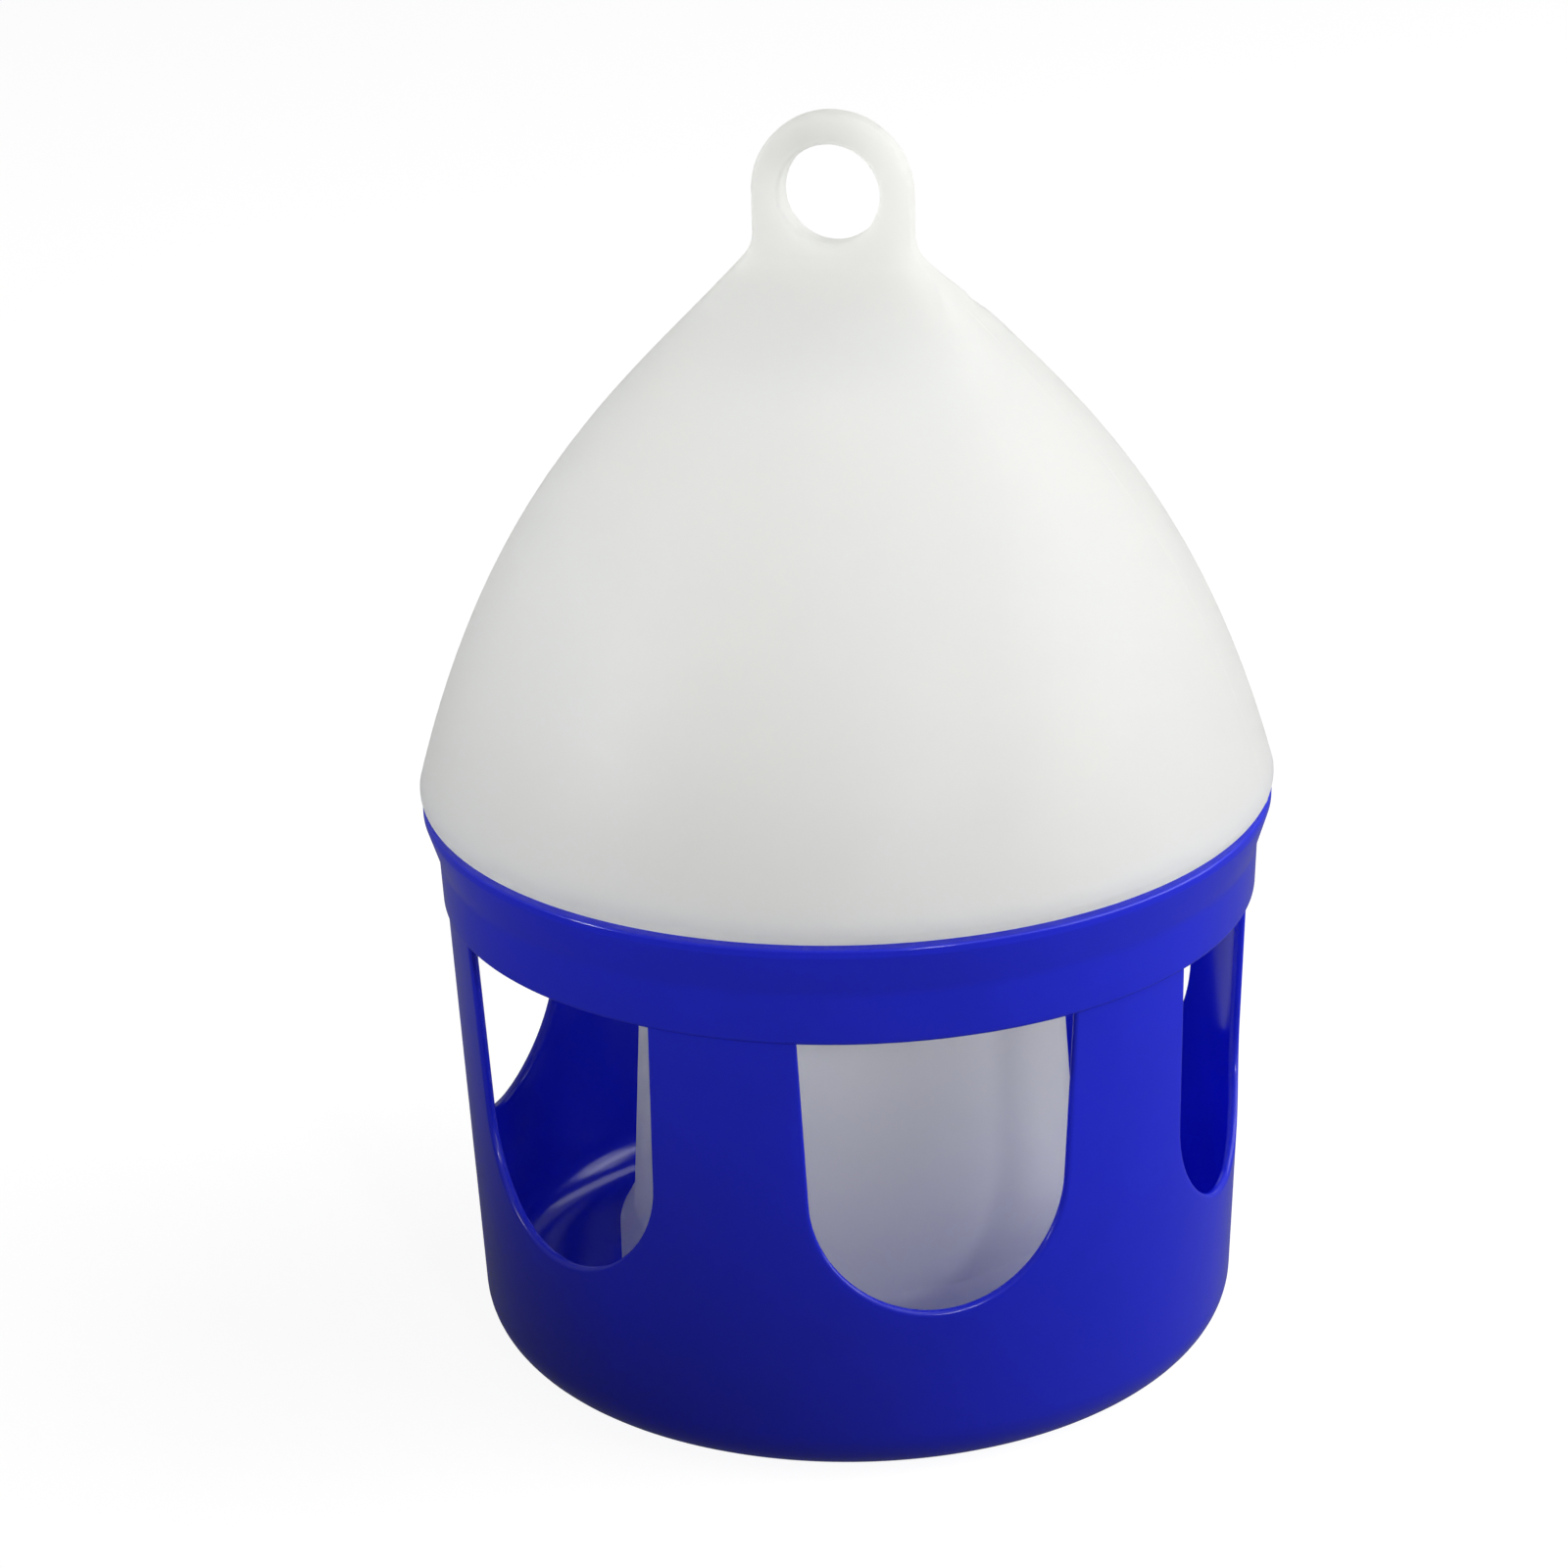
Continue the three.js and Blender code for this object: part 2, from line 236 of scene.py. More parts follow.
# Heights and radii that follow from the sizes above
FLOOR_TOP = FOOT_RISE + FLOOR_THICKNESS
WALL_LEAN = math.atan2(WALL_TOP_RADIUS - BOTTOM_RADIUS, COLLAR_BOTTOM)
COLLAR_RADIUS = WALL_TOP_RADIUS + COLLAR_STEP
COLLAR_INNER_RADIUS = COLLAR_RADIUS - BASE_WALL
LIP_BOTTOM = COLLAR_BOTTOM + COLLAR_HEIGHT
LIP_TOP = LIP_BOTTOM + LIP_HEIGHT
LIP_RADIUS = COLLAR_RADIUS + COLLAR_DRAFT + LIP_REACH
SEAT = LIP_TOP + SEAT_GAP
SHOULDER_RADIUS = cad_high.x / MM - SHOULDER_INSIDE
PLUG_RADIUS = COLLAR_INNER_RADIUS - LOCK_REACH - LOCK_CLEARANCE
PLUG_BOTTOM = SEAT - PLUG_DEPTH
LUG_BOTTOM = PLUG_BOTTOM + LOCK_LIFT
TAB_BOTTOM = LUG_BOTTOM + LOCK_HEIGHT + LOCK_PLAY
MOUTH = FLOOR_TOP + MOUTH_GAP
FOOT_TOP = MOUTH + FOOT_HEIGHT
DOME_FOOT = SEAT + SHOULDER_CORNER
DOME_TOP = DOME_FOOT + DOME_HEIGHT
RING_HALF_WIDTH = RING_HOLE_RADIUS + RING_BAND
RING_FOOT_HALF_WIDTH = RING_HALF_WIDTH + RING_FILLET * (1 - math.cos(DOME_TOP_LEAN))
RING_FILLET_TOP = DOME_TOP + RING_FILLET * math.sin(DOME_TOP_LEAN)
RING_CENTRE = RING_FILLET_TOP + RING_NECK
SCOOP_TOP = RING_CENTRE - RING_HOLE_RADIUS - RING_LAND

# The dome's outline is a curve with these ends and handles
DOME_CURVE = (
    (SHOULDER_RADIUS, DOME_FOOT),
    (
        SHOULDER_RADIUS - DOME_FOOT_PULL * math.sin(DOME_FOOT_LEAN),
        DOME_FOOT + DOME_FOOT_PULL * math.cos(DOME_FOOT_LEAN),
    ),
    (
        RING_FOOT_HALF_WIDTH + DOME_TOP_PULL * math.sin(DOME_TOP_LEAN),
        DOME_TOP - DOME_TOP_PULL * math.cos(DOME_TOP_LEAN),
    ),
    (RING_FOOT_HALF_WIDTH, DOME_TOP),
)


def outline(corners, closed=False):
    """Points (radius, height) through corners (radius, height, fillet), with arcs at the filleted ones."""
    points = []
    for i, (radius, height, fillet) in enumerate(corners):
        here = np.array((radius, height), float)
        if fillet <= 0:
            points.append(here)
            continue
        before = corners[i - 1]
        after = corners[(i + 1) % len(corners)]
        back = np.array(before[:2]) - here
        ahead = np.array(after[:2]) - here
        room_back = np.linalg.norm(back) * (SHARED_RUN if before[2] > 0 else WHOLE_RUN)
        room_ahead = np.linalg.norm(ahead) * (SHARED_RUN if after[2] > 0 else WHOLE_RUN)
        back = back / np.linalg.norm(back)
        ahead = ahead / np.linalg.norm(ahead)
        half_angle = math.acos(np.clip(back @ ahead, -1, 1)) / 2
        reach = min(fillet / math.tan(half_angle), room_back, room_ahead)
        bend = reach * math.tan(half_angle)
        middle = (back + ahead) / np.linalg.norm(back + ahead)
        centre = here + middle * bend / math.sin(half_angle)
        start = here + back * reach - centre
        end = here + ahead * reach - centre
        turn = math.atan2(start[0] * end[1] - start[1] * end[0], start @ end)
        steps = max(FEWEST_ARC_STEPS, round(abs(turn) / ARC_STEP))
        for angle in np.linspace(0, turn, steps + 1):
            cosine, sine = math.cos(angle), math.sin(angle)
            spoke = (cosine * start[0] - sine * start[1], sine * start[0] + cosine * start[1])
            points.append(centre + spoke)
    if closed:
        points.append(points[0])
    return np.array(points)


def inset(corners, wall):
    """The corners of the other side of a wall: moved along their mitre, with their fillets adjusted."""
    spots = np.array([corner[:2] for corner in corners], float)
    runs = np.diff(spots, axis=0)
    runs = runs / np.linalg.norm(runs, axis=1)[:, None]
    normals = np.column_stack((runs[:, 1], -runs[:, 0]))
    moved = []
    for i, (_, _, fillet) in enumerate(corners):
        before = normals[max(i - 1, 0)]
        after = normals[min(i, len(normals) - 1)]
        mitre = (before + after) / (1 + before @ after)
        bulges = before[0] * after[1] - before[1] * after[0] > 0
        rounder = max(fillet - wall, 0) if bulges else fillet + wall
        radius, height = spots[i] - wall * mitre
        moved.append((radius, height, rounder if fillet > 0 else 0))
    return moved


def bezier(curve, shares, wall=0):
    """Points of a cubic curve, given by its ends and handles, moved to its left by a wall."""
    start, leaving, arriving, end = (np.array(point, float) for point in curve)
    done = np.asarray(shares, float)[:, None]
    left = 1 - done
    points = start * left ** 3 + 3 * leaving * done * left ** 2
    points = points + 3 * arriving * done ** 2 * left + end * done ** 3
    along = (leaving - start) * left ** 2 + 2 * (arriving - leaving) * done * left
    along = along + (end - arriving) * done ** 2
    along = along / np.linalg.norm(along, axis=1)[:, None]
    return points + wall * np.column_stack((-along[:, 1], along[:, 0]))


def revolved(points, angles):
    """A grid of points: an outline turned about the axis. Angles run from -Y towards +X."""
    radius = points[:, 0][:, None]
    height = np.broadcast_to(points[:, 1][:, None], (len(points), len(angles)))
    return np.stack((radius * np.sin(angles), -radius * np.cos(angles), height), axis=2)


def turned(grid, degrees):
    """A grid of points turned about +Z."""
    angle = math.radians(degrees)
    cosine, sine = math.cos(angle), math.sin(angle)
    return grid @ np.array(((cosine, -sine, 0), (sine, cosine, 0), (0, 0, 1))).T


def around(count):
    """Evenly spread angles, of which the first comes again at the end."""
    return np.linspace(0, 2 * math.pi, count + 1)


def solid(name, grids, fill_ends=False):
    """A closed mesh from grids of points that share their edges."""
    shape = bmesh.new()
    for grid in grids:
        rows = [[shape.verts.new(point) for point in row] for row in grid * MM]
        for low, high in zip(rows, rows[1:]):
            for i in range(len(low) - 1):
                shape.faces.new((low[i], low[i + 1], high[i + 1], high[i]))
    bmesh.ops.remove_doubles(shape, verts=shape.verts, dist=WELD * MM)
    bmesh.ops.dissolve_degenerate(shape, edges=shape.edges, dist=WELD * MM)
    if fill_ends:
        rims = [edge for edge in shape.edges if edge.is_boundary]
        bmesh.ops.holes_fill(shape, edges=rims, sides=0)
    bmesh.ops.recalc_face_normals(shape, faces=shape.faces)
    mesh = bpy.data.meshes.new(name)
    shape.to_mesh(mesh)
    shape.free()
    piece = bpy.data.objects.new(name, mesh)
    bpy.context.scene.collection.objects.link(piece)
    return piece


def combine(piece, tool, operation):
    """Joins a tool to a piece, or cuts it out, for good."""
    modifier = piece.modifiers.new("combine", "BOOLEAN")
    modifier.operation = operation
    modifier.solver = "EXACT"
    modifier.object = tool
    graph = bpy.context.evaluated_depsgraph_get()
    mesh = bpy.data.meshes.new_from_object(piece.evaluated_get(graph))
    piece.modifiers.clear()
    mesh.name = piece.data.name
    piece.data = mesh
    bpy.data.objects.remove(tool)


def shade(piece, material):
    """Smooth shading up to the sharp edges, and a material."""
    mesh = piece.data
    mesh.materials.clear()
    mesh.materials.append(material)
    mesh.polygons.foreach_set("use_smooth", [True] * len(mesh.polygons))
    mesh.polygons.foreach_set("material_index", [0] * len(mesh.polygons))
    mesh.set_sharp_from_angle(angle=CREASE_ANGLE)
    mesh.update()


def wall_outer(height):
    return BOTTOM_RADIUS + height * math.tan(WALL_LEAN)


def wall_inner(height):
    return wall_outer(height) - BASE_WALL / math.cos(WALL_LEAN)


def sill_point(angle):
    """A point of the round sill and the direction away from the opening there."""
    cosine, sine = math.cos(angle), math.sin(angle)
    return SILL_RADIUS * cosine, WINDOW_SILL + SILL_RADIUS * (1 + sine), cosine, sine


def window_edge():
    """A window's edge from its upper left corner round the sill to its upper right corner.

    Returns points (x, height), the directions away from the opening, and the points (angle, height) on
    the border between this window's share of the wall and the next.
    """
    middle = WINDOW_SILL + SILL_RADIUS
    half_top = WINDOW_TOP_WIDTH / 2
    lean = math.atan2(half_top - SILL_RADIUS, COLLAR_BOTTOM - middle)
    arc_end = np.array((SILL_RADIUS * math.cos(lean), middle - SILL_RADIUS * math.sin(lean)))
    slope = (half_top - arc_end[0]) / (COLLAR_BOTTOM - arc_end[1])
    side_top = np.array((half_top + slope * PILLAR_ENTRY, COLLAR_BOTTOM + PILLAR_ENTRY))
    half_share = math.pi / WINDOW_COUNT
    rows = []
    for share in np.linspace(0, 1, SIDE_STEPS, endpoint=False):
        x, height = side_top + share * (arc_end - side_top)
        rows.append((-x, height, -1, 0, -half_share, height))
    arc_start = math.pi + lean
    for share in np.linspace(0, 1, CORNER_STEPS, endpoint=False):
        angle = arc_start + share * (SILL_CORNER - arc_start)
        height = arc_end[1] + share * (BAND_BOTTOM - arc_end[1])
        rows.append((*sill_point(angle), -half_share, height))
    for share in np.linspace(0, 1, SILL_STEPS // 2 + 1):
        angle = SILL_CORNER + share * (SILL_LOWEST - SILL_CORNER)
        rows.append((*sill_point(angle), half_share * (share - 1), BAND_BOTTOM))
    left = np.array(rows)
    right = left[-2::-1] * (-1, 1, -1, 1, -1, 1)
    rows = np.vstack((left, right))
    return rows[:, 0:2], rows[:, 2:4], rows[:, 4:6]


def on_wall(x, height, surface, depth=0):
    """Points of a wall's surface straight behind points of the window's plane, pushed in by a depth."""
    return np.stack((x, depth - np.sqrt(surface(height) ** 2 - x ** 2), height), axis=-1)


def windowed_wall():
    """Outer side, inner side and rounded edge of one window's share of the wall."""
    edge, away, border = window_edge()
    spread = np.linspace(0, 1, PILLAR_STEPS + 1)[:, None] ** PILLAR_GRADING
    grids = []
    start = edge + WINDOW_ROUNDING * away
    for surface in (wall_outer, wall_inner):
        start_angle = np.arcsin(start[:, 0] / surface(start[:, 1]))
        angle = start_angle + spread * (border[:, 0] - start_angle)
        height = start[:, 1] + spread * (border[:, 1] - start[:, 1])
        radius = surface(height)
        grids.append(np.stack((radius * np.sin(angle), -radius * np.cos(angle), height), axis=2))
    turns = np.linspace(0, math.pi / 2, ROUNDING_STEPS + 1)
    rim = []
    for surface, side, order in ((wall_outer, 1, turns), (wall_inner, -1, turns[::-1])):
        for turn in order:
            spot = edge + WINDOW_ROUNDING * (1 - math.sin(turn)) * away
            depth = side * WINDOW_ROUNDING * (1 - math.cos(turn))
            rim.append(on_wall(spot[:, 0], spot[:, 1], surface, depth))
    grids.append(np.array(rim))
    return grids


def tray_and_pillars():
    foot_inner = BOTTOM_RADIUS - BOTTOM_FILLET - FOOT_RING_WIDTH
    under = outline((
        (0, FOOT_RISE + GATE_DEPTH, 0),
        (GATE_RADIUS - GATE_DEPTH, FOOT_RISE + GATE_DEPTH, 0),
        (GATE_RADIUS, FOOT_RISE, 0),
        (foot_inner - FOOT_RISE, FOOT_RISE, EDGE_ROUNDING),
        (foot_inner, 0, EDGE_ROUNDING),
        (BOTTOM_RADIUS, 0, BOTTOM_FILLET),
        (wall_outer(BAND_BOTTOM), BAND_BOTTOM, 0),
    ))
    inside = outline((
        (wall_inner(BAND_BOTTOM), BAND_BOTTOM, 0),
        (wall_inner(FLOOR_TOP), FLOOR_TOP, TRAY_FILLET),
        (0, FLOOR_TOP, 0),
    ))
    angles = around(WINDOW_COUNT * SILL_STEPS) - math.pi / WINDOW_COUNT
    grids = [revolved(under, angles), revolved(inside, angles)]
    for i in range(WINDOW_COUNT):
        for grid in windowed_wall():
            grids.append(turned(grid, 360 / WINDOW_COUNT * i))
    return solid("drinking_base_moulding", grids, fill_ends=True)


def collar():
    ledge = COLLAR_BOTTOM + BASE_WALL / 2
    ledge_radius = wall_inner(COLLAR_BOTTOM) - COLLAR_INSET
    profile = outline((
        (COLLAR_RADIUS, COLLAR_BOTTOM, COLLAR_ROUNDING),
        (COLLAR_RADIUS + COLLAR_DRAFT, LIP_BOTTOM, LIP_SWEEP),
        (LIP_RADIUS, LIP_TOP - LIP_EDGE, EDGE_ROUNDING),
        (LIP_RADIUS, LIP_TOP, EDGE_ROUNDING),
        (LIP_RADIUS - LIP_WALL, LIP_TOP, EDGE_ROUNDING),
        (COLLAR_INNER_RADIUS, LIP_BOTTOM, LIP_SWEEP + BASE_WALL),
        (COLLAR_INNER_RADIUS, ledge, EDGE_ROUNDING),
        (ledge_radius, ledge, EDGE_ROUNDING),
        (ledge_radius, COLLAR_BOTTOM, EDGE_ROUNDING),
    ), closed=True)
    return solid("collar", [revolved(profile, around(COLLAR_COLUMNS))])


def add_lock_blocks(piece, root, tip, bottom, first_turn):
    """Joins the twist lock's lugs or tabs to a piece: short parts of a ring, rounded at their tip."""
    half = math.asin(LOCK_WIDTH / 2 / tip)
    profile = outline((
        (root, bottom, 0),
        (tip, bottom, EDGE_ROUNDING),
        (tip, bottom + LOCK_HEIGHT, EDGE_ROUNDING),
        (root, bottom + LOCK_HEIGHT, 0),
    ), closed=True)
    grid = revolved(profile, np.linspace(-half, half, 2 * ROUNDING_STEPS + 1))
    for i in range(LOCK_COUNT):
        turn = first_turn + 360 / LOCK_COUNT * i
        block = solid("lock_block", [turned(grid, turn)], fill_ends=True)
        combine(piece, block, "UNION")


def drinking_base():
    base = tray_and_pillars()
    combine(base, collar(), "UNION")
    tab_root = COLLAR_INNER_RADIUS + BASE_WALL / 2
    tab_tip = COLLAR_INNER_RADIUS - LOCK_REACH
    add_lock_blocks(base, tab_root, tab_tip, TAB_BOTTOM, BOTTLE_TURN + 180 / LOCK_COUNT)
    return base


def scoop_curve():
    """Front and back of the dome leave its round outline and sweep up into the flat ring."""
    start, ahead = bezier(DOME_CURVE, (SCOOP_START, SCOOP_START + 1 / SCOOP_STEPS))
    along = (ahead - start) / np.linalg.norm(ahead - start)
    ring_face = np.array((RING_THICKNESS / 2, SCOOP_TOP))
    return start, start + SCOOP_FOOT_PULL * along, ring_face - (0, SCOOP_TOP_PULL), ring_face


def smooth_step(low, high, value):
    share = min(max((value - low) / (high - low), 0), 1)
    return share * share * (3 - 2 * share)


def section(width, depth, height, angles):
    """One level of the bottle: round where width and depth are alike, squarer where it is flat.

    Above the ring's centre the outline closes round the ring, and the thickness runs out at its edge.
    """
    reach = max(width, RING_HALF_WIDTH) if height > RING_CENTRE else width
    flatness = 1 - depth / reach
    power = ROUND_POWER + SCOOP_POWER * flatness + RING_POWER * smooth_step(*RING_FLATNESS, flatness)
    cosine = np.cos(angles).round(ANGLE_DIGITS)
    sine = np.sin(angles).round(ANGLE_DIGITS)
    x = width * np.sign(cosine) * np.abs(cosine) ** (2 / power)
    rise = max(height - RING_CENTRE, 0)
    share = np.clip((x ** 2 + rise ** 2) / reach ** 2, 0, 1)
    y = depth * np.sign(sine) * (1 - share ** (power / 2)) ** (1 / power)
    return np.column_stack((x, y, np.full(len(angles), height)))


def dome_levels(wall):
    """Levels (width, depth, height) of the dome up to the ring, moved inwards by a wall."""
    widths = bezier(DOME_CURVE, np.linspace(0, 1, DOME_STEPS + 1), wall)
    depths = bezier(scoop_curve(), np.linspace(0, 1, SCOOP_STEPS + 1), wall)
    levels = []
    for width, height in widths:
        depth = np.interp(height, depths[:, 1], depths[:, 0]) if height > depths[0, 1] else width
        levels.append((width, min(width, depth), height))
    return levels


def ring_levels():
    """Levels of the carrying ring from the dome's tip to its top."""
    levels = []
    for turn in np.linspace(DOME_TOP_LEAN, 0, RING_SIDE_STEPS + 1)[1:]:
        width = RING_HALF_WIDTH + RING_FILLET * (1 - math.cos(turn))
        levels.append((width, RING_FILLET_TOP - RING_FILLET * math.sin(turn)))
    for height in np.linspace(RING_FILLET_TOP, RING_CENTRE, RING_SIDE_STEPS + 1)[1:]:
        levels.append((RING_HALF_WIDTH, height))
    for turn in np.linspace(0, math.pi / 2, RING_TOP_STEPS + 1)[1:]:
        levels.append((RING_HALF_WIDTH * math.cos(turn), RING_CENTRE + RING_HALF_WIDTH * math.sin(turn)))
    depths = bezier(scoop_curve(), np.linspace(0, 1, SCOOP_STEPS + 1))
    return [(width, np.interp(height, depths[:, 1], depths[:, 0]), height) for width, height in levels]


def bottle_angles():
    """Column angles, closer together at the parting line on both sides."""
    even = np.degrees(around(BOTTLE_COLUMNS))
    extra = [side + sign * near for side in (0, 180, 360) for sign in (1, -1) for near in SEAM_COLUMNS]
    angles = np.unique(np.concatenate((even, [angle for angle in extra if 0 < angle < 360])))
    return np.radians(angles)


def with_seam(rings):
    """Raises the fine parting line that runs down both sides of the bottle in the ring's plane."""
    x, y = rings[:, :, 0], rings[:, :, 1]
    ridge = SEAM_HEIGHT * np.exp(-(y / SEAM_WIDTH) ** 2)
    rings[:, :, 0] = x + np.sign(x) * ridge * np.minimum(np.abs(x) / SEAM_FADE, 1)
    return rings


def mouth_levels():
    """Levels of the mouth's rounded edge, from the inside of the wall to its outside."""
    middle = FOOT_RADIUS - BOTTLE_WALL / 2
    levels = []
    for turn in np.linspace(math.pi, 2 * math.pi, 2 * ROUNDING_STEPS + 1)[1:-1]:
        radius = middle + BOTTLE_WALL / 2 * math.cos(turn)
        levels.append((radius, radius, MOUTH + MOUTH_ROUNDING * (1 + math.sin(turn))))
    return levels


def bottle_shell():
    lower = [
        (FOOT_RADIUS, MOUTH, 0),
        (FOOT_RADIUS, FOOT_TOP, EDGE_ROUNDING),
        (NECK_LOW_RADIUS, FOOT_TOP + FOOT_TAPER, BOTTLE_WALL),
        (NECK_TOP_RADIUS, PLUG_BOTTOM - FUNNEL_DROP, NECK_FILLET),
        (PLUG_RADIUS, PLUG_BOTTOM, PLUG_FILLET),
        (PLUG_RADIUS, SEAT, EDGE_ROUNDING),
        (SHOULDER_RADIUS, SEAT, SHOULDER_CORNER),
        (SHOULDER_RADIUS, DOME_FOOT + CUT_MARGIN, 0),
    ]
    inner = [(radius, radius, height) for radius, height in outline(inset(lower, BOTTLE_WALL))[:-1]]
    inner += [level for level in dome_levels(BOTTLE_WALL)[1:] if level[1] > CAVITY_TIP]
    inner[0] = (FOOT_RADIUS - BOTTLE_WALL, FOOT_RADIUS - BOTTLE_WALL, MOUTH + MOUTH_ROUNDING)
    outer = [(radius, radius, height) for radius, height in outline(lower)[:-1]]
    outer += dome_levels(0)[1:] + ring_levels()
    outer[0] = (FOOT_RADIUS, FOOT_RADIUS, MOUTH + MOUTH_ROUNDING)
    angles = bottle_angles()
    inside = np.array([section(*level, angles) for level in reversed(inner)])
    inside = np.concatenate((inside[:1] * (0, 0, 1), inside))
    outside = with_seam(np.array([section(*level, angles) for level in outer]))
    edge = np.array([section(*level, angles) for level in mouth_levels()])
    edge = np.concatenate((inside[-1:], edge, outside[:1]))
    grids = [turned(grid, BOTTLE_TURN) for grid in (inside, edge, outside)]
    return solid("reservoir_bottle_moulding", grids)


def ring_hole_cutter():
    """A spool whose flared ends round the edges of the ring's hole."""
    half = RING_THICKNESS / 2
    end = -half - CUT_MARGIN
    profile = [(0, end), (RING_HOLE_RADIUS + RING_EDGE, end)]
    for turn in np.linspace(math.pi / 2, 0, 2 * ROUNDING_STEPS + 1):
        radius = RING_HOLE_RADIUS + RING_EDGE * (1 - math.cos(turn))
        profile.append((radius, -half + RING_EDGE * (1 - math.sin(turn))))
    profile += [(radius, -height) for radius, height in reversed(profile)]
    grid = revolved(np.array(profile), around(HOLE_COLUMNS))
    upright = np.stack((grid[:, :, 0], grid[:, :, 2], grid[:, :, 1] + RING_CENTRE), axis=2)
    return solid("ring_hole", [turned(upright, BOTTLE_TURN)])


def notch_cutter(turn):
    """An arched slot right across the mouth, which leaves a notch on both sides."""
    half = NOTCH_WIDTH / 2
    arch = MOUTH + NOTCH_HEIGHT - half
    low = MOUTH - CUT_MARGIN
    edge = [(half, low)]
    for angle in np.linspace(0, math.pi, NOTCH_STEPS + 1):
        edge.append((half * math.cos(angle), arch + half * math.sin(angle)))
    edge += [(-half, low), (half, low)]
    edge = np.array(edge)
    reach = FOOT_RADIUS + CUT_MARGIN
    ends = [np.column_stack((edge[:, 0], np.full(len(edge), y), edge[:, 1])) for y in (-reach, reach)]
    return solid("notch", [turned(np.array(ends), BOTTLE_TURN + turn)], fill_ends=True)


def reservoir_bottle():
    bottle = bottle_shell()
    combine(bottle, ring_hole_cutter(), "DIFFERENCE")
    for i in range(NOTCH_PAIRS):
        combine(bottle, notch_cutter(180 / NOTCH_PAIRS * i), "DIFFERENCE")
    lug_root = PLUG_RADIUS - BOTTLE_WALL / 2
    lug_tip = PLUG_RADIUS + LOCK_REACH
    add_lock_blocks(bottle, lug_root, lug_tip, LUG_BOTTOM, BOTTLE_TURN)
    return bottle


class Nodes:
    """A node tree with its output, and short ways to add and join nodes."""

    def __init__(self, tree, output):
        self.tree = tree
        self.tree.nodes.clear()
        self.output = self.add(output)

    def add(self, kind, **values):
        """Adds a node and sets the values of its sockets."""
        node = self.tree.nodes.new(kind)
        for socket, value in values.items():
            node.inputs[socket].default_value = value
        return node

    def join(self, source, target):
        self.tree.links.new(source, target)

    def noise(self, place, scale, detail):
        node = self.add("ShaderNodeTexNoise", Scale=scale, Detail=detail)
        self.join(place, node.inputs["Vector"])
        return node.outputs["Fac"]

    def ramp(self, noise, first, second):
        """Colours between two ends, run by a noise."""
        node = self.add("ShaderNodeValToRGB")
        for stop, position, colour in zip(node.color_ramp.elements, NOISE_ENDS, (first, second)):
            stop.position = position
            stop.color = (*colour, 1)
        self.join(noise, node.inputs["Fac"])
        return node.outputs["Color"]

    def spread(self, noise, first, second):
        """Numbers between two ends, run by a noise."""
        node = self.add("ShaderNodeMapRange")
        node.inputs["From Min"].default_value, node.inputs["From Max"].default_value = NOISE_ENDS
        node.inputs["To Min"].default_value = first
        node.inputs["To Max"].default_value = second
        self.join(noise, node.inputs["Value"])
        return node.outputs["Result"]


def new_material(name):
    material = bpy.data.materials.new(name)
    material.use_nodes = True
    return material, Nodes(material.node_tree, "ShaderNodeOutputMaterial")


def plastic(name, look):
    """A moulded skin with a fine grain, on a thin wall that scatters some light to its far side."""
    material, nodes = new_material(name)
    place = nodes.add("ShaderNodeTexCoord").outputs["Object"]
    skin = nodes.add("ShaderNodeBsdfPrincipled")
    skin.inputs["Specular IOR Level"].default_value = look["specular"]
    mottle = nodes.noise(place, *look["mottle_noise"])
    colour = nodes.ramp(mottle, *look["colours"])
    nodes.join(colour, skin.inputs["Base Color"])
    gloss = nodes.noise(place, *look["gloss_noise"])
    nodes.join(nodes.spread(gloss, *look["roughness"]), skin.inputs["Roughness"])
    bump = nodes.add("ShaderNodeBump", Strength=look["grain_strength"], Distance=look["grain_height"])
    nodes.join(nodes.noise(place, *look["grain_noise"]), bump.inputs["Height"])
    nodes.join(bump.outputs["Normal"], skin.inputs["Normal"])
    through = nodes.add("ShaderNodeBsdfTranslucent")
    nodes.join(colour, through.inputs["Color"])
    wall = nodes.add("ShaderNodeMixShader")
    nodes.join(nodes.spread(mottle, *look["light_through"]), wall.inputs["Fac"])
    nodes.join(skin.outputs["BSDF"], wall.inputs[1])
    nodes.join(through.outputs["BSDF"], wall.inputs[2])
    nodes.join(wall.outputs["Shader"], nodes.output.inputs["Surface"])
    return material


def backdrop_strength(nodes, unseen, seen, mirrored):
    """How bright the backdrop is: to plain bounces, to the camera, and mirrored or through a wall."""
    path = nodes.add("ShaderNodeLightPath")
    either = nodes.add("ShaderNodeMath")
    either.operation = "MAXIMUM"
    nodes.join(path.outputs["Is Glossy Ray"], either.inputs[0])
    nodes.join(path.outputs["Is Transmission Ray"], either.inputs[1])
    mirror = nodes.add("ShaderNodeMapRange")
    mirror.inputs["To Min"].default_value = unseen
    mirror.inputs["To Max"].default_value = mirrored
    nodes.join(either.outputs["Value"], mirror.inputs["Value"])
    direct = nodes.add("ShaderNodeMapRange")
    direct.inputs["To Max"].default_value = seen
    nodes.join(path.outputs["Is Camera Ray"], direct.inputs["Value"])
    nodes.join(mirror.outputs["Result"], direct.inputs["To Min"])
    return direct.outputs["Result"]


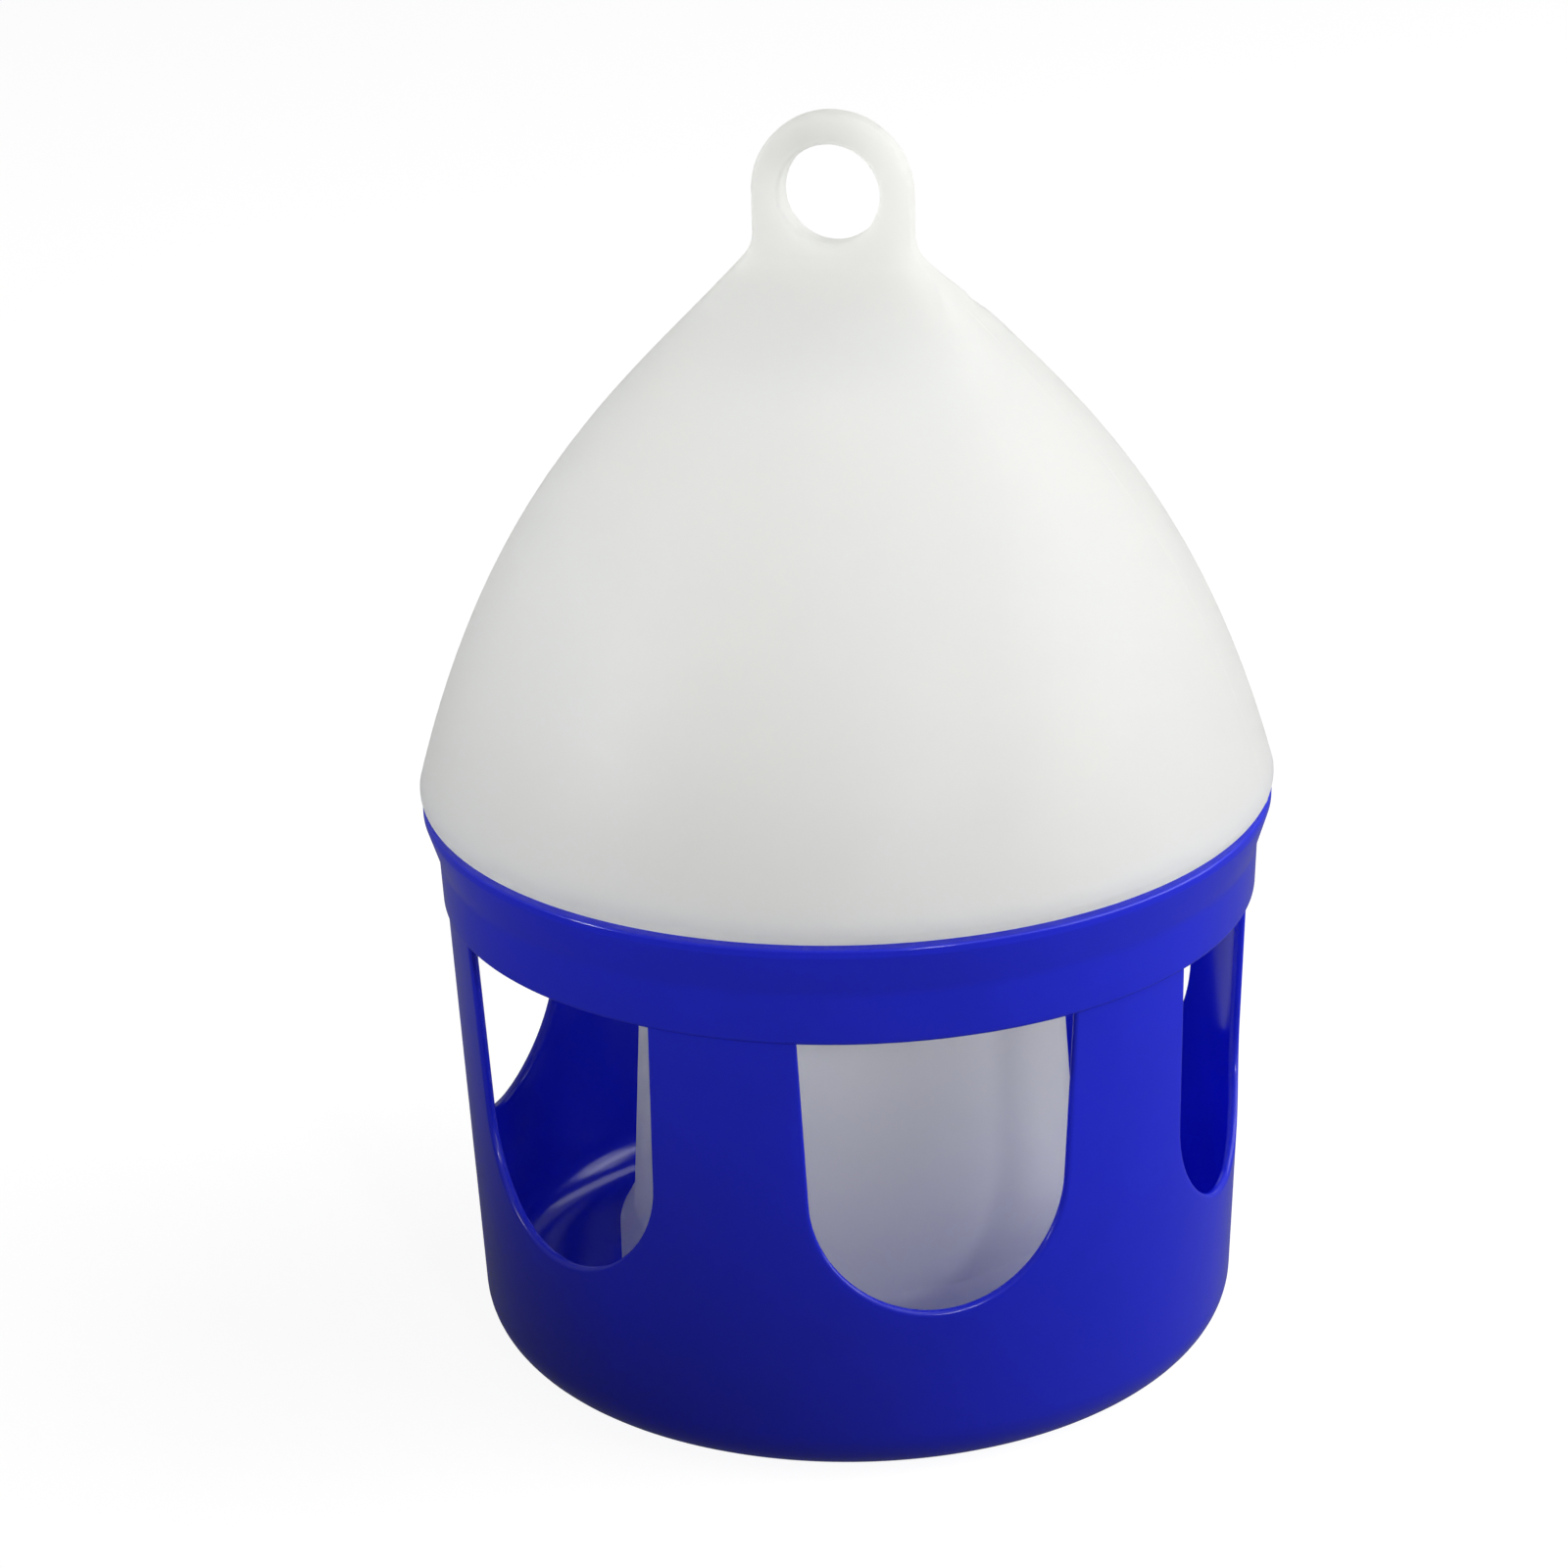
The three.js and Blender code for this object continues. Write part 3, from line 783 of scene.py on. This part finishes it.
def studio_floor():
    mesh = bpy.data.meshes.new("studio_floor")
    corners = [(x * FLOOR_REACH, y * FLOOR_REACH, 0) for x, y in ((-1, -1), (1, -1), (1, 1), (-1, 1))]
    mesh.from_pydata(corners, [], [(0, 1, 2, 3)])
    floor = bpy.data.objects.new("studio_floor", mesh)
    bpy.context.scene.collection.objects.link(floor)
    material, nodes = new_material("studio_floor")
    matt = nodes.add("ShaderNodeBsdfDiffuse", Color=FLOOR_COLOUR)
    glow = nodes.add("ShaderNodeEmission")
    strength = backdrop_strength(nodes, FLOOR_LIGHT, FLOOR_SEEN, FLOOR_MIRRORED)
    nodes.join(strength, glow.inputs["Strength"])
    both = nodes.add("ShaderNodeAddShader")
    nodes.join(matt.outputs["BSDF"], both.inputs[0])
    nodes.join(glow.outputs["Emission"], both.inputs[1])
    nodes.join(both.outputs["Shader"], nodes.output.inputs["Surface"])
    mesh.materials.append(material)


def studio_world():
    world = bpy.data.worlds.new("studio")
    bpy.context.scene.world = world
    world.use_nodes = True
    nodes = Nodes(world.node_tree, "ShaderNodeOutputWorld")
    background = nodes.add("ShaderNodeBackground", Color=WORLD_COLOUR)
    strength = backdrop_strength(nodes, WORLD_LIGHT, WORLD_SEEN, WORLD_MIRRORED)
    nodes.join(strength, background.inputs["Strength"])
    nodes.join(background.outputs["Background"], nodes.output.inputs["Surface"])


def place_lamp(data, bearing, elevation, distance, aim_height):
    """Hangs a lamp so that it shines at a point of the object's axis."""
    turn = math.radians(CAMERA_AZIMUTH + bearing)
    rise = math.radians(elevation)
    aim = Vector((0, 0, aim_height))
    away = Vector((math.sin(turn) * math.cos(rise), -math.cos(turn) * math.cos(rise), math.sin(rise)))
    lamp = bpy.data.objects.new(data.name, data)
    lamp.location = aim + distance * away
    lamp.rotation_euler = away.to_track_quat("Z", "Y").to_euler()
    lamp.visible_camera = False
    bpy.context.scene.collection.objects.link(lamp)


def soft_box(name, bearing, elevation, size, power):
    """A large area lamp."""
    data = bpy.data.lights.new(name, "AREA")
    data.shape = "RECTANGLE"
    data.size, data.size_y = size
    data.energy = power
    place_lamp(data, bearing, elevation, BOX_DISTANCE, BOX_AIM)


def soft_spot(name, bearing, elevation, aim_height, cone, power):
    """A round lamp for the bottle, whose light fades out softly over the base."""
    data = bpy.data.lights.new(name, "SPOT")
    data.shadow_soft_size = SPOT_RADIUS
    data.spot_size = math.radians(cone)
    data.spot_blend = SPOT_BLEND
    data.energy = power
    place_lamp(data, bearing, elevation, SPOT_DISTANCE, aim_height)


def studio_lights():
    for box in SOFT_BOXES:
        soft_box(*box)
    for spot in SOFT_SPOTS:
        soft_spot(*spot)


def photo_camera():
    pitch, roll, yaw = (math.radians(angle) for angle in (CAMERA_PITCH, CAMERA_ROLL, CAMERA_YAW))
    forward = Vector((
        math.sin(yaw) * math.cos(pitch),
        math.cos(yaw) * math.cos(pitch),
        -math.sin(pitch),
    ))
    level = Vector((math.cos(yaw), -math.sin(yaw), 0))
    down = forward.cross(level)
    right = math.cos(roll) * level + math.sin(roll) * down
    up = math.sin(roll) * level - math.cos(roll) * down
    turn = Matrix.Rotation(math.radians(CAMERA_AZIMUTH), 4, "Z")
    place = Matrix((right, up, -forward)).transposed().to_4x4()
    place.translation = Vector((0, -CAMERA_DISTANCE, CAMERA_HEIGHT)) * MM
    data = bpy.data.cameras.new("photo_camera")
    data.lens = CAMERA_LENS
    data.sensor_width = CAMERA_SENSOR
    camera = bpy.data.objects.new("photo_camera", data)
    camera.matrix_world = turn @ place
    bpy.context.scene.collection.objects.link(camera)
    bpy.context.scene.camera = camera


base = drinking_base()
shade(base, plastic("blue_plastic", BLUE_PLASTIC))
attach(base, "base")
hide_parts("drinking_base")

bottle = reservoir_bottle()
shade(bottle, plastic("milky_plastic", MILKY_PLASTIC))
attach(bottle, "bottle")
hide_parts("reservoir_bottle")

studio_floor()
studio_world()
studio_lights()
photo_camera()
bpy.context.scene.view_settings.view_transform = "Standard"
